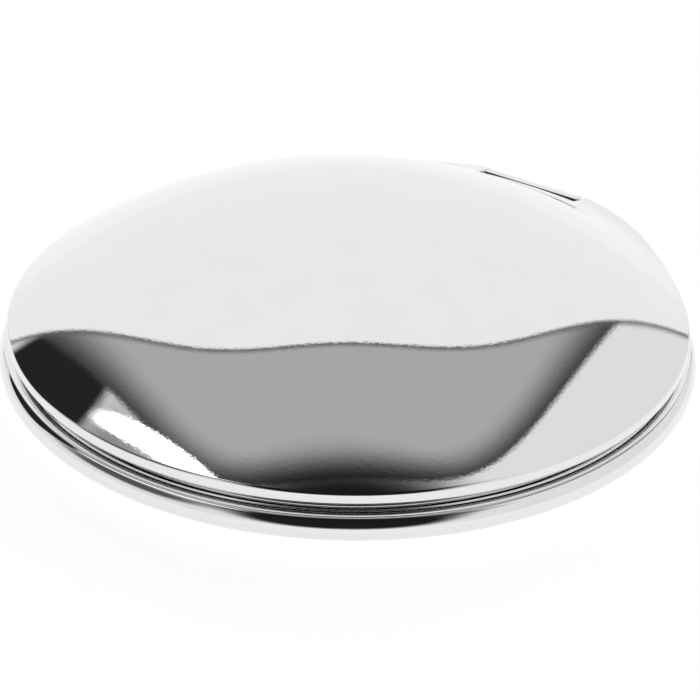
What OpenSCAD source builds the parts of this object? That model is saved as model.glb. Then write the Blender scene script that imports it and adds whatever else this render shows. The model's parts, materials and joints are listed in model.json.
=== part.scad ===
// Round folding compact mirror: two polished shells hinged at the back, a mirror in each.
// Millimetres, +Z up. The origin is the centre of the flat underside, and the hinge is at +Y.

/* [Outline] */
// Radius of the lid at its widest level, away from the hinge
lid_r = 31; // [29:0.5:33]
// How far the rim bead of the base stands out past the lid
bead_out = 0.77; // [0.4:0.05:1]
// How far the outline swells at the hinge, as a share of its radius
swell = 0.085; // [0.06:0.005:0.09]
// Angle from the hinge at which the swell has nearly died away
swell_spread = 30; // [26:1:34]
// How closely the swell keeps to the rim: the higher, the less of the dome it draws out
flare_power = 30; // [10:5:40]

/* [Lid] */
// Height of the dome above the lid's lip
dome_h = 11.6; // [10:0.2:14]
// Level at which the dome would meet the lid's side if the corner were sharp
side_h = 1.3; // [1.2:0.1:2]
// Exponent of the dome's curve: 2 is a parabola, and more is flatter on top
dome_power = 2.2; // [2:0.1:3]
// Radius of the corner between the dome and the side
corner_r = 0.4; // [0.3:0.05:1]
// Radius of the lip's lower edge
lip_r = 0.7; // [0.3:0.05:0.7]
// Thickness of the lid's wall over the hollow
lid_wall = 1.2; // [1:0.1:1.5]

/* [Base] */
// Height of the base, from its underside to the land inside its bead
base_h = 5.9; // [5.5:0.1:7]
// Gap between the base's land and the lid's lip
lip_gap = 0.3; // [0.2:0.05:0.5]
// Radius of the rounded bead
bead_r = 1.3; // [1.1:0.05:1.4]
// How far the top of the bead lies below the land
bead_drop = 0.4; // [0.3:0.05:0.8]
// Radius of the flat that the compact rests on
rest_r = 21; // [18:1:23]
// Thickness of the base's floor
base_wall = 1.2; // [1:0.1:1.5]

/* [Hinge] */
// Distance of the hinge axis in from the lid's rim at the back
hinge_in = 1.75; // [1.6:0.05:2]
// Radius of the barrel on the base
barrel_r = 1.15; // [1:0.05:1.25]
// Radius of the lid's two ears
ear_r = 0.95; // [0.9:0.05:1.1]
// Length of each ear
ear_l = 1.75; // [1.6:0.05:2.6]
// Width of the notch in the lid
notch_w = 11; // [10:0.1:12]
// Clearance between the notch and the front of the barrel
notch_gap = 0.3; // [0.26:0.02:0.5]
// Height of the hinge axis above the lid's lip
axis_up = 0.6; // [0.4:0.05:0.7]
// Radius of the hinge pin
pin_r = 0.5; // [0.4:0.05:0.6]
// Running clearance between the pin and the barrel's bore
pin_play = 0.05; // [0.02:0.01:0.1]
// Thickness of a friction washer
washer_t = 0.28; // [0.2:0.02:0.3]

/* [Mirrors] */
// Radius of the bore that a tray sits in
seat_r = 26.6; // [26:0.1:26.8]
// Radius of a mirror
mirror_r = 24.2; // [23.5:0.1:24.3]
// Thickness of a mirror
mirror_t = 1; // [0.8:0.1:1.2]
// Thickness of the foam tape behind a mirror
tape_t = 0.3; // [0.2:0.05:0.4]
// Thickness of a tray's floor
tray_t = 0.8; // [0.6:0.1:1]
// Thickness of a trim ring
ring_t = 0.35; // [0.3:0.05:0.4]
// How far each trim ring lies back from the face of its shell
ring_inset = 0.15; // [0.1:0.05:0.2]

/* [Catch and bumpers] */
// Radius of a catch magnet
magnet_r = 1; // [0.8:0.1:1.1]
// Thickness of a catch magnet
magnet_t = 1.6; // [1:0.1:2]
// Angle between the two catch magnets of a shell
magnet_spread = 14; // [10:1:20]
// Radius of a bumper
bumper_r = 0.9; // [0.6:0.1:1]
// Number of bumpers
bumper_count = 4; // [3:1:6]

/* [Hidden] */

$fn = 96;
segments = 96; // flats round a swelled outline
eps = 0.01;
over = 1; // how far a cutter runs past the face it cuts

lip_z = base_h + lip_gap;
bead_centre_r = lid_r + bead_out - bead_r;
bead_centre_z = base_h - bead_drop - bead_r;
land_r = bead_centre_r - 0.83;

hinge_z = lip_z + axis_up;
hinge_y = lid_r * (1 + swell) - hinge_in;
notch_y = hinge_y - barrel_r - notch_gap;
side_play = 0.05; // gap between the barrel and a washer
barrel_l = notch_w - 2 * (washer_t + side_play);
ear_end = notch_w / 2 + ear_l;
sweep_r = 2.2; // reach of the lid's rim round the hinge axis as it opens
sweep_end = 10.4; // distance from the middle at which the rim no longer passes behind the axis

tray_play = 0.05; // glue gap round a tray
mirror_play = 0.2; // gap round a mirror in its tray
ledge_w = 0.9; // ledge that a tray rests on
ring_cover = 0.7; // how far a trim ring laps over its mirror
bumper_play = 0.03; // gap left over the bumpers when the lid is shut
tray_rim_h = mirror_t + tape_t + tray_t; // whole height of a tray
stack_h = ring_inset + ring_t + tray_rim_h; // from a shell's face to its ledge
magnet_at = (seat_r + land_r) / 2;

// ---- Outline and profiles ----

// Outline radius at an angle from +X, as a share of the plain radius.
function swelled(a) = 1 + swell * exp(-pow(min(abs(a - 90), abs(a - 450)) / swell_spread, 3));

// Height of the dome over the lip at a distance from the middle.
function dome_z(r) = side_h + (dome_h - side_h) * (1 - pow(r / lid_r, dome_power));

// Points of an arc, from one angle to another.
function arc(centre, r, from, to, steps) =
    [for (i = [0:steps]) let (a = from + (to - from) * i / steps) centre + r * [cos(a), sin(a)]];

dome_slope = atan(dome_power * (dome_h - side_h) / lid_r);
corner_from = 90 - dome_slope; // angle at which the corner's arc leaves the dome
dome_end_r = lid_r - corner_r * (1 - cos(corner_from));
corner_z = dome_z(dome_end_r) - corner_r * sin(corner_from);

// Lid from its lip up to near the top of the dome. Its face is the level of the lip.
lid_profile = concat(
    arc([lid_r - lip_r, lip_r], lip_r, -90, 0, 3),
    arc([lid_r - corner_r, corner_z], corner_r, 0, corner_from, 4),
    [for (share = [0.95, 0.91, 0.86, 0.79, 0.7, 0.58, 0.43, 0.24]) [lid_r * share, dome_z(lid_r * share)]]
);

// Base from the edge of its flat underside to the edge of its land.
base_profile = concat(
    [[rest_r, 0], [rest_r + 4, 0.45], [rest_r + 6.6, 1.35]],
    arc([bead_centre_r, bead_centre_z], bead_r, -110, 122, 12),
    [[land_r + 0.1, base_h - 0.15], [land_r - 0.05, base_h]]
);

// Radius of a level at an angle: levels from rim_start outwards swell in full, and inner ones hardly at all.
function flared(r, a, rim_start) = r * (1 + (swelled(a) - 1) * pow(min(1, r / rim_start), flare_power));

// Closed solid with a profile of [radius, height] points, low to high, round the swelled outline.
module swelled_solid(profile, rim_start, bottom_z, top_z) {
    rings = len(profile);
    points = concat(
        [for (p = profile, i = [0:segments - 1])
            let (a = 360 * i / segments, r = flared(p[0], a, rim_start)) [r * cos(a), r * sin(a), p[1]]],
        [[0, 0, bottom_z], [0, 0, top_z]]
    );
    bottom_middle = rings * segments;
    top_middle = bottom_middle + 1;
    last = (rings - 1) * segments;
    faces = concat(
        [for (k = [0:rings - 2], i = [0:segments - 1])
            let (j = (i + 1) % segments, low = k * segments, high = low + segments)
                each [[low + i, high + i, high + j], [low + i, high + j, low + j]]],
        [for (i = [0:segments - 1]) [bottom_middle, i, (i + 1) % segments]],
        [for (i = [0:segments - 1]) [top_middle, last + (i + 1) % segments, last + i]]
    );
    polyhedron(points = points, faces = faces, convexity = 4);
}

// Cylinder along X, centred on the hinge axis between two distances from the middle.
module on_axis(r, from, to) {
    translate([from, hinge_y, hinge_z])
        rotate([0, 90, 0])
            cylinder(r = r, h = to - from);
}

// Both sides of the middle.
module both_sides() {
    children();
    mirror([1, 0, 0])
        children();
}

// Two places for the catch magnets, on the land at the front.
module at_magnets() {
    for (a = [-90 - magnet_spread / 2, -90 + magnet_spread / 2])
        rotate([0, 0, a])
            translate([magnet_at, 0, 0])
                children();
}

// ---- Mirror stack: drawn with its shell's face at zero and going down, for the base ----

module stack_base() {
    translate([0, 0, base_h])
        children();
}

module stack_lid() {
    translate([0, 0, lip_z])
        mirror([0, 0, 1])
            children();
}

module tray_shape() {
    top = -ring_inset - ring_t;
    floor_top = top - mirror_t - tape_t;
    translate([0, 0, top - tray_rim_h])
        difference() {
            cylinder(r = seat_r - tray_play, h = tray_rim_h);
            translate([0, 0, floor_top - top + tray_rim_h])
                cylinder(r = mirror_r + mirror_play, h = mirror_t + tape_t + over);
        }
}

module tape_shape() {
    translate([0, 0, -ring_inset - ring_t - mirror_t - tape_t])
        cylinder(r = mirror_r - 0.8, h = tape_t);
}

// Mirror glass with a ground edge on both faces.
module mirror_shape() {
    bevel = 0.15;
    translate([0, 0, -ring_inset - ring_t - mirror_t])
        rotate_extrude()
            polygon([
                [0, 0],
                [mirror_r - bevel, 0],
                [mirror_r, bevel],
                [mirror_r, mirror_t - bevel],
                [mirror_r - bevel, mirror_t],
                [0, mirror_t],
            ]);
}

// Trim ring that laps over the edge of the mirror, with eased edges.
module ring_shape() {
    ease = 0.12;
    inner = mirror_r - ring_cover;
    outer = seat_r - 0.15;
    translate([0, 0, -ring_inset - ring_t])
        rotate_extrude()
            polygon([
                [inner, 0],
                [outer, 0],
                [outer, ring_t - ease],
                [outer - ease, ring_t],
                [inner + ease, ring_t],
                [inner, ring_t - ease],
            ]);
}

module magnets_shape() {
    at_magnets()
        translate([0, 0, -magnet_t])
            cylinder(r = magnet_r, h = magnet_t, $fn = 32);
}

// ---- Sub-parts of the base ----

// Room for one ear of the lid, and for the lid's rim as it swings down round the axis.
module ear_pocket() {
    on_axis(sweep_r, barrel_l / 2, sweep_end);
}

// Hollow of the base, with the ledge that its tray rests on.
module base_hollow() {
    ledge_z = base_h - stack_h;
    rotate_extrude()
        polygon([
            [0, base_h + over],
            [seat_r, base_h + over],
            [seat_r, ledge_z],
            [seat_r - ledge_w, ledge_z],
            [seat_r - 3, base_wall + 0.5],
            [rest_r - 1, base_wall],
            [0, base_wall],
        ]);
}

module base_shell() {
    neck = 0.1; // the block under the barrel is this much narrower than the barrel on each side
    color("silver")
        difference() {
            union() {
                difference() {
                    swelled_solid(base_profile, land_r, 0, base_h);
                    both_sides()
                        ear_pocket();
                }
                on_axis(barrel_r, -barrel_l / 2, barrel_l / 2);
                translate([-barrel_l / 2, hinge_y - barrel_r + neck, base_h - 1.5])
                    cube([barrel_l, 2 * (barrel_r - neck), 1.5 + lip_gap + axis_up]);
            }
            base_hollow();
            on_axis(pin_r + pin_play, -barrel_l / 2 - over, barrel_l / 2 + over);
            stack_base()
                magnets_shape();
        }
}

module base_tray() {
    color("dimgray")
        stack_base()
            tray_shape();
}

module base_tape() {
    color("white")
        stack_base()
            tape_shape();
}

module base_mirror() {
    color("lightblue")
        stack_base()
            mirror_shape();
}

module base_trim_ring() {
    color("gainsboro")
        stack_base()
            ring_shape();
}

module base_magnets() {
    color("gray")
        stack_base()
            magnets_shape();
}

// Soft domed pads on the base's trim ring.
module bumpers() {
    h = lip_gap + 2 * ring_inset - bumper_play;
    at = (mirror_r - ring_cover + seat_r) / 2;
    color("whitesmoke")
        for (i = [0:bumper_count - 1])
            rotate([0, 0, 45 + 360 * i / bumper_count])
                translate([at, 0, base_h - ring_inset])
                    cylinder(r1 = bumper_r, r2 = bumper_r - 0.25, h = h, $fn = 32);
}

// ---- Sub-parts of the lid ----

// Hollow under the dome, with the ledge that the lid's tray rests on.
module lid_hollow() {
    ledge_z = stack_h;
    reach = seat_r - ledge_w;
    steps = 6;
    translate([0, 0, lip_z])
        rotate_extrude()
            polygon(concat(
                [[0, -over], [seat_r, -over], [seat_r, ledge_z], [reach, ledge_z]],
                [for (i = [steps:-1:0]) [reach * i / steps, dome_z(reach * i / steps) - lid_wall]]
            ));
}

module lid_shell() {
    pin_end = ear_end - 0.35; // the pin's hole is blind at -X and open at +X
    color("silver")
        difference() {
            union() {
                difference() {
                    translate([0, 0, lip_z])
                        swelled_solid(lid_profile, dome_end_r, 0, dome_h);
                    translate([-notch_w / 2, notch_y, lip_z - over])
                        cube([notch_w, 2 * lid_r, dome_h]);
                }
                both_sides()
                    on_axis(ear_r, notch_w / 2, ear_end);
            }
            lid_hollow();
            on_axis(pin_r, -pin_end, sweep_end + over);
            stack_lid()
                magnets_shape();
        }
}

module lid_tray() {
    color("dimgray")
        stack_lid()
            tray_shape();
}

module lid_tape() {
    color("white")
        stack_lid()
            tape_shape();
}

module lid_mirror() {
    color("lightblue")
        stack_lid()
            mirror_shape();
}

module lid_trim_ring() {
    color("gainsboro")
        stack_lid()
            ring_shape();
}

module lid_magnets() {
    color("gray")
        stack_lid()
            magnets_shape();
}

// Pin fixed in the lid's ears.
module hinge_pin() {
    pin_end = ear_end - 0.35;
    color("slategray")
        on_axis(pin_r, -pin_end, pin_end);
}

// One washer beside each end of the barrel, against the lid's ears.
module friction_washers() {
    color("ivory")
        both_sides()
            difference() {
                on_axis(ear_r - 0.1, notch_w / 2 - washer_t, notch_w / 2);
                on_axis(pin_r, notch_w / 2 - washer_t - over, notch_w / 2 + over);
            }
}

base_shell();
base_tray();
base_tape();
base_mirror();
base_trim_ring();
base_magnets();
bumpers();
lid_shell();
lid_tray();
lid_tape();
lid_mirror();
lid_trim_ring();
lid_magnets();
hinge_pin();
friction_washers();
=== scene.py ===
"""Looks of the round compact mirror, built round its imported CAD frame.

The frame is in metres. Shapes are drawn in millimetres, as in the part's own source, and scaled once, when
their mesh is made.
"""

import json
import math

import bmesh
import bpy
import numpy as np
from mathutils import Matrix, Vector


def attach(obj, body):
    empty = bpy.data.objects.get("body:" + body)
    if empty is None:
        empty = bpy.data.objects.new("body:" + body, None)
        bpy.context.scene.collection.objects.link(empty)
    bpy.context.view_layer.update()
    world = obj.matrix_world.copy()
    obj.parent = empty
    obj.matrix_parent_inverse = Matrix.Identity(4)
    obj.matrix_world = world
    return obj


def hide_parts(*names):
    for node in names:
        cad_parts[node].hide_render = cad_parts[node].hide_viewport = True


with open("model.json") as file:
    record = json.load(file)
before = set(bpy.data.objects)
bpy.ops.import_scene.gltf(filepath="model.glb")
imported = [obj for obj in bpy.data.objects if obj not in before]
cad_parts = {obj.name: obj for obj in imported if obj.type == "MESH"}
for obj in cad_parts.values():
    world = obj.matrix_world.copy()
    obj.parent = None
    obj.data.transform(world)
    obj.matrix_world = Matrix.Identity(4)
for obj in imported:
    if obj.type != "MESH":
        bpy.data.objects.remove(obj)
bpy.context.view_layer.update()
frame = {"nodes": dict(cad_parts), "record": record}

MM = 0.001

# ---------------------------------------------------------------- dimensions, in millimetres

LID_R = 31
BEAD_OUT = 0.76  # a hair inside the CAD bead, whose flats cut its corners
SWELL = 0.085
SWELL_SPREAD = 30  # degrees
FLARE_POWER = 30

DOME_H = 11.6
SIDE_H = 1.3
DOME_POWER = 2.2
CORNER_R = 0.4
LIP_R = 0.7
LID_WALL = 1.2

BASE_H = 5.9
LIP_GAP = 0.3
BEAD_R = 1.3
BEAD_DROP = 0.4
LAND_IN = 0.83  # from the middle of the bead in to the edge of the land
REST_R = 21
BASE_WALL = 1.2
EDGE_EASE = 0.1  # on the edges of the bores that the trays sit in

HINGE_IN = 1.75
BARREL_R = 1.15
EAR_R = 0.95
EAR_L = 1.75
NOTCH_W = 11
NOTCH_GAP = 0.3
AXIS_UP = 0.6
PIN_R = 0.5
PIN_PLAY = 0.05
PIN_SHORT = 0.35  # how far the pin stops short of the end of an ear
NECK = 0.1  # the block under the barrel is this much narrower on each side
RUN_IN = 0.2  # how far the barrel is drawn past its ends before they are cut
WASHER_T = 0.28
SIDE_PLAY = 0.05  # between the barrel and a washer
SWEEP_R = 2.2
SWEEP_END = 10.4

SEAT_R = 26.6
TRAY_PLAY = 0.05
MIRROR_PLAY = 0.2
MIRROR_R = 24.2
MIRROR_T = 1
MIRROR_BEVEL = 0.15
TAPE_T = 0.3
TRAY_T = 0.8
RING_T = 0.35
RING_INSET = 0.15
RING_COVER = 0.7
LEDGE_W = 0.9
TAPE_IN = 0.8  # how far the tape stops short of the edge of its mirror

MAGNET_R = 1
MAGNET_T = 1.6
MAGNET_SPREAD = 14  # degrees
BUMPER_R = 0.9
BUMPER_COUNT = 4
BUMPER_PLAY = 0.03

LIP_Z = BASE_H + LIP_GAP
BEAD_CENTRE_R = LID_R + BEAD_OUT - BEAD_R
BEAD_CENTRE_Z = BASE_H - BEAD_DROP - BEAD_R
LAND_R = BEAD_CENTRE_R - LAND_IN
HINGE_Z = LIP_Z + AXIS_UP
HINGE_Y = LID_R * (1 + SWELL) - HINGE_IN
NOTCH_Y = HINGE_Y - BARREL_R - NOTCH_GAP
BARREL_L = NOTCH_W - 2 * (WASHER_T + SIDE_PLAY)
EAR_END = NOTCH_W / 2 + EAR_L
PIN_END = EAR_END - PIN_SHORT
TRAY_H = MIRROR_T + TAPE_T + TRAY_T
STACK_H = RING_INSET + RING_T + TRAY_H
MAGNET_AT = (SEAT_R + LAND_R) / 2

COLUMNS = 480  # flats round a shell
FILLET = 0.14  # radius of the eased edge round the lid's notch

# ---------------------------------------------------------------- outline and profiles


def swelled(a):
    """Radius of the outline at an angle in degrees from +X, as a share of the plain radius."""
    off = np.minimum(np.abs(a - 90), np.abs(a - 450))
    return 1 + SWELL * np.exp(-((off / SWELL_SPREAD) ** 3))


def dome_z(r):
    """Height of the dome above the lid's lip."""
    return SIDE_H + (DOME_H - SIDE_H) * (1 - (r / LID_R) ** DOME_POWER)


def arc(centre, radius, start, end, steps):
    """Points of an arc between two angles in degrees."""
    angles = np.radians(np.linspace(start, end, steps + 1))
    return [(centre[0] + radius * math.cos(a), centre[1] + radius * math.sin(a)) for a in angles]


def eased(points, reach, closed=False):
    """A profile with its corners rounded over, each from reach away."""
    ends = [] if closed else [points[0], points[-1]]
    loop = [points[-1], *points, points[0]] if closed else points
    made = ends[:1]
    for corner in zip(loop, loop[1:], loop[2:]):
        before, at, after = (Vector(p) for p in corner)
        start = at + (before - at).normalized() * min(reach, (before - at).length * 0.45)
        end = at + (after - at).normalized() * min(reach, (after - at).length * 0.45)
        for t in np.linspace(0, 1, 6):
            made.append(tuple(start * (1 - t) ** 2 + at * 2 * t * (1 - t) + end * t**2))
    return made + ends[1:]


CORNER_FROM = 90 - math.degrees(math.atan(DOME_POWER * (DOME_H - SIDE_H) / LID_R))
DOME_END_R = LID_R - CORNER_R * (1 - math.cos(math.radians(CORNER_FROM)))
CORNER_Z = dome_z(DOME_END_R) - CORNER_R * math.sin(math.radians(CORNER_FROM))


def lid_profiles():
    """Profiles of the lid: the outer from its lip to the dome's top, the inner from the hollow's top down."""
    dome_r = DOME_END_R * (1 - (1 - np.linspace(0, 1, 78)) ** 1.8)
    outer = arc((LID_R - LIP_R, LIP_R), LIP_R, -90, 0, 8)
    outer += arc((LID_R - CORNER_R, CORNER_Z), CORNER_R, 0, CORNER_FROM, 14)
    outer += [(r, dome_z(r)) for r in dome_r[-2:0:-1]]
    reach = SEAT_R - LEDGE_W
    inner = [(r, dome_z(r) - LID_WALL) for r in np.linspace(0, reach, 25)[1:]]
    inner += [(reach, STACK_H), (SEAT_R, STACK_H), (SEAT_R, EDGE_EASE), (SEAT_R + EDGE_EASE, 0)]
    return [(r, LIP_Z + z) for r, z in outer], [(r, LIP_Z + z) for r, z in inner]


def base_profiles():
    """Profiles of the base: the outer from its underside to its land, the inner from the seat's edge down."""
    outer = [(REST_R * k, 0) for k in (0.25, 0.5, 0.75, 0.99)]
    outer += [(REST_R + 1.3, 0.04), (REST_R + 2.7, 0.2), (REST_R + 4, 0.45), (REST_R + 5.3, 0.84)]
    outer += arc((BEAD_CENTRE_R, BEAD_CENTRE_Z), BEAD_R, -118, 122, 56)
    outer += arc((LAND_R - 0.05, BASE_H - 0.2), 0.2, 35, 90, 5)
    inner = [(SEAT_R + EDGE_EASE, BASE_H), (SEAT_R, BASE_H - EDGE_EASE), (SEAT_R, BASE_H - STACK_H)]
    inner += [(SEAT_R - LEDGE_W, BASE_H - STACK_H), (SEAT_R - 3, BASE_WALL + 0.5), (REST_R - 1, BASE_WALL)]
    return outer, inner


# ---------------------------------------------------------------- meshes


def add_object(name, verts, faces):
    """Object with a closed mesh, given in millimetres, its faces turned outwards."""
    mesh = bpy.data.meshes.new(name)
    mesh.from_pydata([[c * MM for c in v] for v in verts], [], faces)
    work = bmesh.new()
    work.from_mesh(mesh)
    bmesh.ops.recalc_face_normals(work, faces=work.faces)
    work.to_mesh(mesh)
    work.free()
    obj = bpy.data.objects.new(name, mesh)
    bpy.context.scene.collection.objects.link(obj)
    return obj


def lofted(name, rings, first_pole, last_pole):
    """Closed skin through rings of points, all with the same number, between two poles."""
    count = len(rings[0])
    verts = [tuple(p) for ring in rings for p in ring] + [first_pole, last_pole]
    faces = []
    for k in range(len(rings) - 1):
        low, high = k * count, (k + 1) * count
        for i in range(count):
            j = (i + 1) % count
            faces.append((low + i, low + j, high + j, high + i))
    top = (len(rings) - 1) * count
    for i in range(count):
        j = (i + 1) % count
        faces.append((len(verts) - 2, j, i))
        faces.append((len(verts) - 1, top + i, top + j))
    return add_object(name, verts, faces)


def shell(name, outer, inner, rim_start, poles):
    """Shell with a flared outer profile and a round inner one."""
    a = np.arange(COLUMNS) * 360 / COLUMNS
    cos, sin = np.cos(np.radians(a)), np.sin(np.radians(a))
    rings = []
    for r, z in outer:
        flare = 1 + (swelled(a) - 1) * min(1, r / rim_start) ** FLARE_POWER
        rings.append(np.stack([r * flare * cos, r * flare * sin, np.full(COLUMNS, z)], axis=1))
    for r, z in inner:
        rings.append(np.stack([r * cos, r * sin, np.full(COLUMNS, z)], axis=1))
    return lofted(name, rings, *poles)


def turned(name, profile, steps, place):
    """Solid of revolution about Z from a profile that starts and ends on the axis, then moved by place."""
    a = np.radians(np.arange(steps) * 360 / steps)
    rings = [np.stack([r * np.cos(a), r * np.sin(a), np.full(steps, z)], axis=1) for r, z in profile[1:-1]]
    obj = lofted(name, rings, (0, 0, profile[0][1]), (0, 0, profile[-1][1]))
    obj.data.transform(place)
    return obj


def washer_like(name, profile, steps, place):
    """Ring about Z with a closed profile that stays off the axis, then moved by place."""
    count = len(profile)
    a = np.radians(np.arange(steps) * 360 / steps)
    verts = [(r * math.cos(t), r * math.sin(t), z) for t in a for r, z in profile]
    faces = []
    for i in range(steps):
        here, there = i * count, (i + 1) % steps * count
        for k in range(count):
            m = (k + 1) % count
            faces.append((here + k, here + m, there + m, there + k))
    obj = add_object(name, verts, faces)
    obj.data.transform(place)
    return obj


def box(name, low, high):
    """Box between two corners: a cutter, the block inside the barrel, or the floor."""
    verts = [(x, y, z) for x in (low[0], high[0]) for y in (low[1], high[1]) for z in (low[2], high[2])]
    faces = [(0, 1, 3, 2), (4, 6, 7, 5), (0, 4, 5, 1), (2, 3, 7, 6), (0, 2, 6, 4), (1, 5, 7, 3)]
    return add_object(name, verts, faces)


def combine(target, operation, tools):
    """Applies boolean operations to target with each tool in turn, and removes the tools."""
    for tool in tools:
        step = target.modifiers.new("combine", "BOOLEAN")
        step.operation = operation
        step.solver = "MANIFOLD"
        step.object = tool
        bpy.context.view_layer.update()
        result = target.evaluated_get(bpy.context.evaluated_depsgraph_get())
        target.data = bpy.data.meshes.new_from_object(result)
        target.modifiers.clear()
        bpy.data.objects.remove(tool)


def smooth(obj):
    """Smooth shading, with sharp edges kept crisp."""
    obj.data.polygons.foreach_set("use_smooth", [True] * len(obj.data.polygons))
    obj.data.set_sharp_from_angle(angle=math.radians(30))


def shift(x, y, z):
    return Matrix.Translation(Vector((x, y, z)) * MM)


def along_x(start):
    """Turns a shape drawn along Z to lie along +X from start, on the hinge axis."""
    return shift(start, HINGE_Y, HINGE_Z) @ Matrix.Rotation(math.radians(90), 4, "Y")


def rod(name, radius, start, end, ease=0.0):
    """Rod along the hinge axis, between two distances from the middle."""
    length = end - start
    profile = [(0, 0), (radius, 0), (radius, length), (0, length)]
    if ease:
        profile = eased(profile, ease)
    return turned(name, profile, 128, along_x(start))


def both(make):
    """The same shape on both sides of the middle."""
    return [make(-1), make(1)]


def span(side, start, end):
    """Two distances from the middle on one side, in rising order."""
    return (start, end) if side > 0 else (-end, -start)


def magnet_places():
    """Where the two catch magnets of a shell are."""
    for a in (-90 - MAGNET_SPREAD / 2, -90 + MAGNET_SPREAD / 2):
        yield MAGNET_AT * math.cos(math.radians(a)), MAGNET_AT * math.sin(math.radians(a))


def ease_notch(obj):
    """Rounds over the lid's edge round the place of the notch, before the notch is cut."""
    half = NOTCH_W / 2
    work = bmesh.new()
    work.from_mesh(obj.data)
    steps = [FILLET * (1 - math.cos(math.radians(t))) for t in (0, 18, 36, 54, 72, 90)]
    for d in steps:
        for point, normal in (
            ((half + d, 0, 0), (1, 0, 0)),
            ((-half - d, 0, 0), (-1, 0, 0)),
            ((0, NOTCH_Y - d, 0), (0, 1, 0)),
        ):
            near = [
                f for f in work.faces
                if f.calc_center_median().y > (NOTCH_Y - 1) * MM
                and abs(f.calc_center_median().x) < (half + 1) * MM
            ]
            edges = {e for f in near for e in f.edges}
            verts = {v for f in near for v in f.verts}
            bmesh.ops.bisect_plane(
                work,
                geom=[*near, *edges, *verts],
                dist=1e-8,
                plane_co=Vector(point) * MM,
                plane_no=normal,
            )
    work.normal_update()
    moves = []
    for v in work.verts:
        x, y, z = v.co / MM
        across, back = max(0, abs(x) - half), max(0, NOTCH_Y - y)
        d = math.hypot(across, back)
        if d < FILLET and z > LIP_Z + 0.02:
            drop = FILLET - math.sqrt(FILLET**2 - (FILLET - d) ** 2)
            moves.append((v, v.normal * drop * MM))
    for v, move in moves:
        v.co -= move
    work.to_mesh(obj.data)
    work.free()


def build_lid_shell():
    """Lid with its eased notch, ears, pin hole and magnet pockets."""
    outer, inner = lid_profiles()
    poles = ((0, 0, LIP_Z + DOME_H), (0, 0, LIP_Z + DOME_H - LID_WALL))
    # The skin runs from the dome's top out and down to the lip, across the land, and up into the hollow.
    obj = shell("lid_shell_polished", outer[::-1], inner[::-1], DOME_END_R, poles)
    ease_notch(obj)
    half = NOTCH_W / 2
    combine(obj, "UNION", both(lambda s: rod("ear", EAR_R, *span(s, half - 0.4, EAR_END), 0.12)))
    notch = box("notch", (-half, NOTCH_Y, LIP_Z - 3), (half, 2 * LID_R, LIP_Z + DOME_H))
    pin_hole = rod("pin_hole", PIN_R, -PIN_END, SWEEP_END + 4)
    pockets = [
        turned("pocket", [(0, -1), (MAGNET_R, -1), (MAGNET_R, MAGNET_T), (0, MAGNET_T)], 48,
               shift(x, y, LIP_Z))
        for x, y in magnet_places()
    ]
    combine(obj, "DIFFERENCE", [notch, pin_hole, *pockets])
    smooth(obj)
    return obj


def build_base_shell():
    """Base with its barrel and bore, the room for the lid's ears, and its magnet pockets."""
    outer, inner = base_profiles()
    obj = shell("base_shell_polished", outer, inner, LAND_R, ((0, 0, 0), (0, 0, BASE_WALL)))
    half = BARREL_L / 2
    barrel = rod("barrel", BARREL_R, -half - RUN_IN, half + RUN_IN)
    block = box(
        "block",
        (-half - RUN_IN, HINGE_Y - BARREL_R + NECK, BASE_H - 1.5),
        (half + RUN_IN, HINGE_Y + BARREL_R - NECK, HINGE_Z),
    )
    combine(obj, "UNION", [barrel, block])
    rooms = both(lambda s: rod("ear_room", SWEEP_R, *span(s, half, SWEEP_END)))
    bore = rod("bore", PIN_R + PIN_PLAY, -BARREL_L, BARREL_L)
    pockets = [
        turned("pocket", [(0, 0), (MAGNET_R, 0), (MAGNET_R, MAGNET_T + 1), (0, MAGNET_T + 1)], 48,
               shift(x, y, BASE_H - MAGNET_T))
        for x, y in magnet_places()
    ]
    combine(obj, "DIFFERENCE", [*rooms, bore, *pockets])
    smooth(obj)
    return obj


def joined(name, parts):
    """One piece from several, with smooth shading."""
    work = bmesh.new()
    for part in parts:
        work.from_mesh(part.data)
        bpy.data.objects.remove(part)
    mesh = bpy.data.meshes.new(name)
    work.to_mesh(mesh)
    work.free()
    obj = bpy.data.objects.new(name, mesh)
    bpy.context.scene.collection.objects.link(obj)
    smooth(obj)
    return obj


def build_tray(name, place):
    """Tray with a flat floor and a raised rim round its mirror."""
    top = -RING_INSET - RING_T
    floor, pocket_r, outer_r = top - MIRROR_T - TAPE_T, MIRROR_R + MIRROR_PLAY, SEAT_R - TRAY_PLAY
    profile = [(0, top - TRAY_H), (outer_r, top - TRAY_H), (outer_r, top), (pocket_r, top), (pocket_r, floor)]
    return joined(name, [turned("tray", eased([*profile, (0, floor)], 0.12), 192, place)])


def build_tape(name, place):
    """Disc of foam tape under a mirror."""
    top = -RING_INSET - RING_T - MIRROR_T
    radius = MIRROR_R - TAPE_IN
    profile = [(0, top - TAPE_T), (radius, top - TAPE_T), (radius, top), (0, top)]
    return joined(name, [turned("tape", eased(profile, 0.05), 128, place)])


def build_mirror(name, place):
    """Mirror with a ground bevel round both faces."""
    top = -RING_INSET - RING_T
    low, flat_r = top - MIRROR_T, MIRROR_R - MIRROR_BEVEL
    profile = [(0, low), (flat_r, low), (MIRROR_R, low + MIRROR_BEVEL)]
    profile += [(MIRROR_R, top - MIRROR_BEVEL), (flat_r, top), (0, top)]
    return joined(name, [turned("mirror", eased(profile, 0.03), 256, place)])


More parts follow.
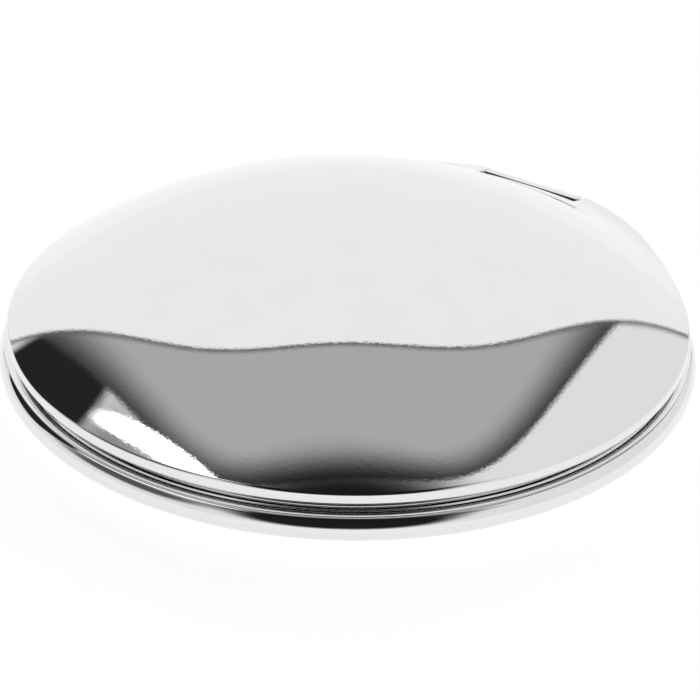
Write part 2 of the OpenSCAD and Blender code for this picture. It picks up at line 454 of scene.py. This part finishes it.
def build_ring(name, place):
    """Trim ring with eased edges and a fine groove turned near its inner edge."""
    low, top = -RING_INSET - RING_T, -RING_INSET
    inner, outer = MIRROR_R - RING_COVER, SEAT_R - 0.15
    groove = [(inner + 0.5, top), (inner + 0.44, top - 0.07), (inner + 0.36, top - 0.07), (inner + 0.3, top)]
    profile = [(inner, low), (outer, low), (outer, top), *groove, (inner, top)]
    return joined(name, [washer_like("ring", eased(profile, 0.1, closed=True), 256, place)])


def build_magnets(name, face, way):
    """Catch magnets, flush with a shell's face and going up or down from it."""
    profile = eased([(0, 0), (MAGNET_R, 0), (MAGNET_R, MAGNET_T), (0, MAGNET_T)], 0.15)
    low = min(face, face + way * MAGNET_T)
    return joined(name, [turned("magnet", profile, 64, shift(x, y, low)) for x, y in magnet_places()])


def build_bumpers(name):
    """Soft domed pads stuck on the base's trim ring."""
    height = LIP_GAP + 2 * RING_INSET - BUMPER_PLAY
    at = (MIRROR_R - RING_COVER + SEAT_R) / 2
    profile = eased([(0, 0), (BUMPER_R, 0), (BUMPER_R - 0.05, height * 0.3), (0.5, height), (0, height)], 0.3)
    pads = []
    for i in range(BUMPER_COUNT):
        a = math.radians(45 + 360 * i / BUMPER_COUNT)
        place = shift(at * math.cos(a), at * math.sin(a), BASE_H - RING_INSET)
        pads.append(turned("pad", profile, 64, place))
    return joined(name, pads)


def build_washers(name):
    """A washer against each ear of the lid."""
    outer, half = EAR_R - 0.1, NOTCH_W / 2
    profile = eased([(PIN_R, 0), (outer, 0), (outer, WASHER_T), (PIN_R, WASHER_T)], 0.06, closed=True)
    starts = (half - WASHER_T, -half)
    return joined(name, [washer_like("washer", profile, 96, along_x(start)) for start in starts])


# ---------------------------------------------------------------- nodes of materials and of the world


def node(tree, kind, inputs=None, **settings):
    """Adds a node. Inputs are values, or sockets to link from."""
    made = tree.nodes.new(kind)
    for key, value in settings.items():
        setattr(made, key, value)
    for key, value in (inputs or {}).items():
        if isinstance(value, bpy.types.NodeSocket):
            tree.links.new(value, made.inputs[key])
        else:
            made.inputs[key].default_value = value
    return made


def calc(tree, operation, *values):
    """Result of a Math node."""
    return node(tree, "ShaderNodeMath", dict(enumerate(values)), operation=operation).outputs[0]


def tone(level):
    """Linear brightness of an 8-bit grey level."""
    c = level / 255
    return c / 12.92 if c <= 0.04045 else ((c + 0.055) / 1.055) ** 2.4


def mixed(tree, factor, low, high):
    """Colour between two colours, either of which may be a socket."""
    low, high = (c if isinstance(c, bpy.types.NodeSocket) else (*c, 1) for c in (low, high))
    return node(tree, "ShaderNodeMix", {0: factor, 6: low, 7: high}, data_type="RGBA").outputs[2]


def remap(tree, value, start, end, low, high):
    """A value that runs from start to end, made to run from low to high, and held there beyond."""
    inputs = {"Value": value, "From Min": start, "From Max": end, "To Min": low, "To Max": high}
    return node(tree, "ShaderNodeMapRange", inputs).outputs[0]


def noise(tree, place, per_mm, detail=2.0):
    """Noise with so many cells to the millimetre along X, Y and Z."""
    scaled = node(tree, "ShaderNodeVectorMath", {0: place, 1: per_mm}, operation="MULTIPLY").outputs[0]
    return node(tree, "ShaderNodeTexNoise", {"Vector": scaled, "Scale": 1.0, "Detail": detail}).outputs[0]


def scratches(tree, place, angle, length, width, share):
    """Long thin marks at an angle about Z, in millimetres: 1 on a mark and 0 off it."""
    inputs = {"Vector": place, "Angle": math.radians(angle)}
    turned_place = node(tree, "ShaderNodeVectorRotate", inputs, rotation_type="Z_AXIS").outputs[0]
    lines = noise(tree, turned_place, (1 / length, 1 / width, 1 / width), 1.0)
    return remap(tree, lines, share, share + 0.03, 0.0, 1.0)


def bump(tree, shader, height, depth):
    """Bump whose full height is depth, in millimetres."""
    inputs = {"Height": height, "Distance": depth * MM, "Strength": 1.0}
    tree.links.new(node(tree, "ShaderNodeBump", inputs).outputs[0], shader.inputs["Normal"])


def material(name, metallic, roughness):
    """New material, with its shader's even values set, and its place in millimetres on the object."""
    made = bpy.data.materials.new(name)
    made.use_nodes = True
    tree = made.node_tree
    shader = tree.nodes["Principled BSDF"]
    shader.inputs["Metallic"].default_value = metallic
    shader.inputs["Roughness"].default_value = roughness
    here = node(tree, "ShaderNodeTexCoord").outputs["Object"]
    place = node(tree, "ShaderNodeVectorMath", {0: here, "Scale": 1 / MM}, operation="SCALE").outputs[0]
    return made, tree, shader, place


def axes(tree, place):
    """The three parts of a place."""
    return node(tree, "ShaderNodeSeparateXYZ", {0: place}).outputs


def from_middle(tree, place, x=0.0, y=0.0):
    """Distance from an axis along Z, the same on both sides of X."""
    xyz = axes(tree, place)
    across = calc(tree, "SUBTRACT", calc(tree, "ABSOLUTE", xyz[0]), x)
    along = calc(tree, "SUBTRACT", xyz[1], y)
    squares = [calc(tree, "POWER", length, 2.0) for length in (across, along)]
    return calc(tree, "SQRT", calc(tree, "ADD", *squares))


def ring_lines(tree, radius, per_mm):
    """Noise that changes only with the radius, as the marks of a lathe do."""
    place = node(tree, "ShaderNodeCombineXYZ", {0: radius}).outputs[0]
    return noise(tree, place, (per_mm, 1, 1), 3.0)


CHROME_GREY = 0.82
SLOT_SHADE_GREY = 0.03  # grey of the painted shade in the lid's notch, down the front of the barrel


def chrome_material(name, painted_slot_shade):
    """Polished chrome with hairline marks, a faint haze from handling, and fine orange peel.

    When set, a painted shade darkens the front of the barrel and makes it rougher there, where it sits in the
    lid's notch.
    """
    made, tree, shader, place = material(name, 1.0, 0.03)
    long_marks = scratches(tree, place, 24, 9, 0.05, 0.71)
    short_marks = scratches(tree, place, -61, 6, 0.04, 0.73)
    marks = calc(tree, "MAXIMUM", long_marks, short_marks)
    haze = remap(tree, noise(tree, place, (0.11, 0.11, 0.11), 4.0), 0.35, 0.75, 0.006, 0.022)
    rough = calc(tree, "ADD", haze, calc(tree, "MULTIPLY", marks, 0.04))
    worn = remap(tree, noise(tree, place, (0.3, 0.3, 0.3), 3.0), 0.4, 0.8, 0.0, 1.0)
    color = mixed(tree, worn, (CHROME_GREY,) * 3, (CHROME_GREY - 0.015,) * 3)
    if painted_slot_shade:
        # Painted shade: a dark, rougher band down the front of the barrel, inside the lid's notch.
        x, y, z = axes(tree, place)
        inside = calc(tree, "LESS_THAN", calc(tree, "ABSOLUTE", x), BARREL_L / 2 + RUN_IN)
        front = remap(tree, y, HINGE_Y - 0.28, HINGE_Y - 0.38, 0.0, 1.0)
        above = remap(tree, z, BASE_H + 0.1, BASE_H + 0.4, 0.0, 1.0)
        painted_slot_shade_mask = calc(tree, "MULTIPLY", calc(tree, "MULTIPLY", inside, front), above)
        color = mixed(tree, painted_slot_shade_mask, color, (SLOT_SHADE_GREY,) * 3)
        rough = calc(tree, "ADD", rough, calc(tree, "MULTIPLY", painted_slot_shade_mask, 0.35))
    tree.links.new(color, shader.inputs["Base Color"])
    tree.links.new(rough, shader.inputs["Roughness"])
    bump(tree, shader, noise(tree, place, (3.2, 3.2, 3.2), 2.0), 0.0012)
    return made


def trim_material():
    """Satin chrome with the fine rings of its turning."""
    made, tree, shader, place = material("trim_chrome_turned", 1.0, 0.2)
    lines = ring_lines(tree, from_middle(tree, place), 14)
    tree.links.new(mixed(tree, lines, (0.72, 0.72, 0.73), (0.9, 0.9, 0.91)), shader.inputs["Base Color"])
    smudge = noise(tree, place, (0.2, 0.2, 0.2), 3.0)
    tree.links.new(remap(tree, smudge, 0.3, 0.7, 0.14, 0.24), shader.inputs["Roughness"])
    bump(tree, shader, lines, 0.003)
    return made


def mirror_material():
    """Silvered glass: faint wiping marks and dust, and a greenish ground edge."""
    made, tree, shader, place = material("mirror_silvered", 1.0, 0.01)
    edge = remap(tree, from_middle(tree, place), MIRROR_R - 0.16, MIRROR_R - 0.13, 0.0, 1.0)
    dust = remap(tree, noise(tree, place, (2.5, 2.5, 2.5), 1.0), 0.76, 0.8, 0.0, 1.0)
    wiped = remap(tree, noise(tree, place, (0.06, 0.5, 0.5), 3.0), 0.4, 0.8, 0.006, 0.03)
    tree.links.new(mixed(tree, edge, (0.9, 0.92, 0.92), (0.42, 0.6, 0.52)), shader.inputs["Base Color"])
    cloudy = calc(tree, "MAXIMUM", calc(tree, "MULTIPLY", edge, 0.3), calc(tree, "MULTIPLY", dust, 0.15))
    tree.links.new(calc(tree, "ADD", wiped, cloudy), shader.inputs["Roughness"])
    return made


def moulded_material(name, dark, light, roughness, per_mm, depth):
    """Moulded plastic or rubber with a fine spark-eroded grain and slight mottling."""
    made, tree, shader, place = material(name, 0.0, roughness)
    mottle = noise(tree, place, (0.4, 0.4, 0.4), 4.0)
    tree.links.new(mixed(tree, mottle, dark, light), shader.inputs["Base Color"])
    grain = noise(tree, place, (per_mm, per_mm, per_mm), 3.0)
    uneven = remap(tree, grain, 0.3, 0.7, roughness - 0.08, roughness + 0.1)
    tree.links.new(uneven, shader.inputs["Roughness"])
    bump(tree, shader, grain, depth)
    return made


def foam_material():
    """Foam tape with open cells."""
    made, tree, shader, place = material("foam_tape_white", 0.0, 0.9)
    cells = node(tree, "ShaderNodeTexVoronoi", {"Vector": place, "Scale": 7.0}).outputs["Distance"]
    pores = remap(tree, cells, 0.1, 0.45, 0.0, 1.0)
    tree.links.new(mixed(tree, pores, (0.6, 0.6, 0.57), (0.85, 0.85, 0.82)), shader.inputs["Base Color"])
    bump(tree, shader, pores, 0.03)
    return made


def steel_material(name, lines_of, dark, light, depth):
    """Bright metal with the marks of how it was worked."""
    made, tree, shader, place = material(name, 1.0, 0.25)
    lines = lines_of(tree, place)
    tree.links.new(mixed(tree, lines, dark, light), shader.inputs["Base Color"])
    tree.links.new(remap(tree, lines, 0.3, 0.7, 0.2, 0.32), shader.inputs["Roughness"])
    bump(tree, shader, lines, depth)
    return made


def magnet_lines(tree, place):
    """Marks of turning about the middle of each magnet."""
    x, y = max(magnet_places())
    return ring_lines(tree, from_middle(tree, place, x, y), 12)


def drawn_lines(tree, place):
    """Marks of drawing, along the pin."""
    return noise(tree, place, (0.15, 14, 14), 3.0)


# Each moulded material: name, its two shades, roughness, grains to the millimetre, depth of the grain.
BLACK = ("tray_black", (0.018, 0.018, 0.02), (0.032, 0.032, 0.034), 0.5, 5, 0.02)
CLEAR = ("bumper_soft", (0.66, 0.67, 0.68), (0.78, 0.78, 0.78), 0.3, 3, 0.004)
IVORY = ("washer_natural", (0.7, 0.68, 0.6), (0.82, 0.81, 0.75), 0.45, 4, 0.006)

# Each worked metal: name, its marks, its two shades, depth of the marks.
NICKEL = ("nickel_turned", magnet_lines, (0.5, 0.49, 0.47), (0.72, 0.71, 0.69), 0.003)
STEEL = ("pin_drawn", drawn_lines, (0.45, 0.45, 0.47), (0.68, 0.68, 0.7), 0.003)

MATERIALS = {
    "chrome_shell": chrome_material("chrome_polished", False),
    "tray_plastic": moulded_material(*BLACK),
    "foam_tape": foam_material(),
    "mirror_glass": mirror_material(),
    "trim_chrome": trim_material(),
    "magnet_nickel": steel_material(*NICKEL),
    "bumper_rubber": moulded_material(*CLEAR),
    "pin_steel": steel_material(*STEEL),
    "washer_nylon": moulded_material(*IVORY),
}
# Chrome for the base shell, with painted shade down the front of its barrel.
CHROME_WITH_PAINTED_SLOT_SHADE = chrome_material("chrome_polished_painted_slot_shade", True)

# ---------------------------------------------------------------- pieces

SLOT_OF = {row["node"]: row["material_slot"] for row in frame["record"]["subparts"]}
for name, obj in frame["nodes"].items():
    obj.data.materials.clear()
    obj.data.materials.append(MATERIALS[SLOT_OF[name]])

IN_BASE = shift(0, 0, BASE_H)
IN_LID = shift(0, 0, LIP_Z) @ Matrix.Rotation(math.pi, 4, "X")
PIECES = {
    "base": {
        "base_shell": build_base_shell(),
        "base_tray": build_tray("base_tray_moulded", IN_BASE),
        "base_tape": build_tape("base_tape_foam", IN_BASE),
        "base_mirror": build_mirror("base_mirror_glass", IN_BASE),
        "base_trim_ring": build_ring("base_ring_turned", IN_BASE),
        "base_magnets": build_magnets("base_magnets_plated", BASE_H, -1),
        "bumpers": build_bumpers("bumpers_soft"),
    },
    "lid": {
        "lid_shell": build_lid_shell(),
        "lid_tray": build_tray("lid_tray_moulded", IN_LID),
        "lid_tape": build_tape("lid_tape_foam", IN_LID),
        "lid_mirror": build_mirror("lid_mirror_glass", IN_LID),
        "lid_trim_ring": build_ring("lid_ring_turned", IN_LID),
        "lid_magnets": build_magnets("lid_magnets_plated", LIP_Z, 1),
        "hinge_pin": joined("hinge_pin_drawn", [rod("pin", PIN_R, -PIN_END, PIN_END, 0.1)]),
        "friction_washers": build_washers("washers_moulded"),
    },
}
for body, pieces in PIECES.items():
    for cad, piece in pieces.items():
        piece.data.materials.clear()
        piece.data.materials.append(CHROME_WITH_PAINTED_SLOT_SHADE if cad == "base_shell" else MATERIALS[SLOT_OF[cad]])
        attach(piece, body)
        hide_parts(cad)

# ---------------------------------------------------------------- camera

VIEW_AZIMUTH = 34  # degrees round from straight in front, so the hinge is at the back on the right
VIEW_ELEVATION = 29.5
CAMERA_DISTANCE = 279 * MM
CAMERA_LENS = 157.2  # on a sensor 36 mm wide
CAMERA_ROLL = 1.06
AIM_RIGHT = 0.13 * MM  # the view's middle lies this far right of and below the lip's centre
AIM_DOWN = 2.2 * MM


def add_camera():
    """Camera above the object and round to the right of its front."""
    a, e = math.radians(VIEW_AZIMUTH), math.radians(VIEW_ELEVATION)
    back = Vector((math.sin(a) * math.cos(e), -math.cos(a) * math.cos(e), math.sin(e)))
    data = bpy.data.cameras.new("camera")
    data.lens = CAMERA_LENS
    data.sensor_width = 36
    data.clip_start = 0.01
    camera = bpy.data.objects.new("camera", data)
    bpy.context.scene.collection.objects.link(camera)
    turn = (-back).to_track_quat("-Z", "Y").to_matrix() @ Matrix.Rotation(math.radians(CAMERA_ROLL), 3, "Z")
    right, up = turn.col[0], turn.col[1]
    aim = Vector((0, 0, LIP_Z * MM)) + right * AIM_RIGHT - up * AIM_DOWN
    camera.matrix_world = Matrix.Translation(aim + back * CAMERA_DISTANCE) @ turn.to_4x4()
    bpy.context.scene.camera = camera


# ---------------------------------------------------------------- studio

# Soft boxes and flags round the object, later ones in front of earlier ones.
# Each: azimuth and elevation of its middle, half width and half height as tangents, roundness, softness of its
# edge, turn, and the grey level that it gives the chrome. Azimuth 0 is straight ahead in the camera's view, and
# 90 is on its right, but the cards are fixed in the world.
CARDS = [
    ("camera side", 180, 41, 0.6, 0.78, 2.5, 0.3, 0, 28),
    ("left wing", -100, 38, 0.45, 0.3, 3, 0.5, 0, 80),
    ("left flag", -55, 27, 0.25, 0.3, 3, 0.12, 0, 34),
    ("ceiling's edge", -3, 50, 0.8, 1.27, 3.8, 0.02, 0, 60),
    ("ceiling", -3, 50, 0.72, 1.15, 3.8, 0.12, 0, 166),
    ("ceiling's front", 180, 70, 0.6, 0.21, 2, 0.5, 0, 24),
    ("lamp", -88, 57.5, 0.36, 0.03, 3, 0.15, -39, 300),
    ("sweep's edge", -2, 21, 0.75, 1.24, 3.4, 0.03, 0, 95),
    ("sweep", -2, 21, 0.73, 1.2, 3.4, 0.015, 0, 232),
]
SURROUND = 220


def card_mask(tree, direction, azimuth, elevation, half_w, half_h, roundness, softness, turn):
    """1 where a direction meets the card and 0 elsewhere."""
    a, e, t = (math.radians(v) for v in (azimuth - VIEW_AZIMUTH, elevation, turn))
    ahead = Vector((math.sin(a) * math.cos(e), math.cos(a) * math.cos(e), math.sin(e)))
    right = Vector((math.cos(a), -math.sin(a), 0))
    up = right.cross(ahead)
    right, up = right * math.cos(t) + up * math.sin(t), up * math.cos(t) - right * math.sin(t)

    def along(axis):
        inputs = {0: direction, 1: axis}
        return node(tree, "ShaderNodeVectorMath", inputs, operation="DOT_PRODUCT").outputs["Value"]

    depth = along(ahead)
    reach = calc(tree, "MAXIMUM", depth, 0.001)
    shares = []
    for axis, half in ((right, half_w), (up, half_h)):
        share = calc(tree, "DIVIDE", calc(tree, "ABSOLUTE", along(axis)), calc(tree, "MULTIPLY", reach, half))
        shares.append(calc(tree, "POWER", share, roundness))
    edge = calc(tree, "POWER", calc(tree, "ADD", *shares), 1 / roundness)
    inputs = {"Value": edge, "From Min": 1 + softness, "From Max": 1 - softness, "To Min": 0.0, "To Max": 1.0}
    mask = node(tree, "ShaderNodeMapRange", inputs, interpolation_type="SMOOTHSTEP").outputs[0]
    return calc(tree, "MULTIPLY", mask, calc(tree, "GREATER_THAN", depth, 0.0))


def add_world():
    """Studio that the chrome reflects, white behind the object."""
    world = bpy.data.worlds.new("studio")
    bpy.context.scene.world = world
    world.use_nodes = True
    tree = world.node_tree
    background = tree.nodes["Background"]
    direction = node(tree, "ShaderNodeTexCoord").outputs["Generated"]
    level = tone(SURROUND) / CHROME_GREY
    for _, *place, grey in CARDS:
        mask = card_mask(tree, direction, *place)
        inputs = {"Factor": mask, "A": level, "B": tone(grey) / CHROME_GREY}
        level = node(tree, "ShaderNodeMix", inputs, data_type="FLOAT").outputs[0]
    seen = node(tree, "ShaderNodeLightPath").outputs["Is Camera Ray"]
    inputs = {"Factor": seen, "A": level, "B": 1.0}
    level = node(tree, "ShaderNodeMix", inputs, data_type="FLOAT").outputs[0]
    tree.links.new(level, background.inputs["Strength"])
    background.inputs["Color"].default_value = (1, 1, 1, 1)


def add_floor():
    """Pale floor, bright enough to be lost in the white behind it."""
    floor = box("floor", (-2000, -2000, -1), (2000, 2000, 0))
    made, tree, shader, place = material("floor", 0.0, 0.8)
    speckle = noise(tree, place, (0.05, 0.05, 0.05), 3.0)
    tree.links.new(mixed(tree, speckle, (0.39, 0.39, 0.39), (0.41, 0.41, 0.41)), shader.inputs["Base Color"])
    shader.inputs["Specular IOR Level"].default_value = 0.0
    shader.inputs["Emission Color"].default_value = (1, 1, 1, 1)
    shader.inputs["Emission Strength"].default_value = 0.8
    floor.data.materials.append(made)


add_camera()
add_world()
add_floor()
bpy.context.scene.view_settings.view_transform = "Standard"
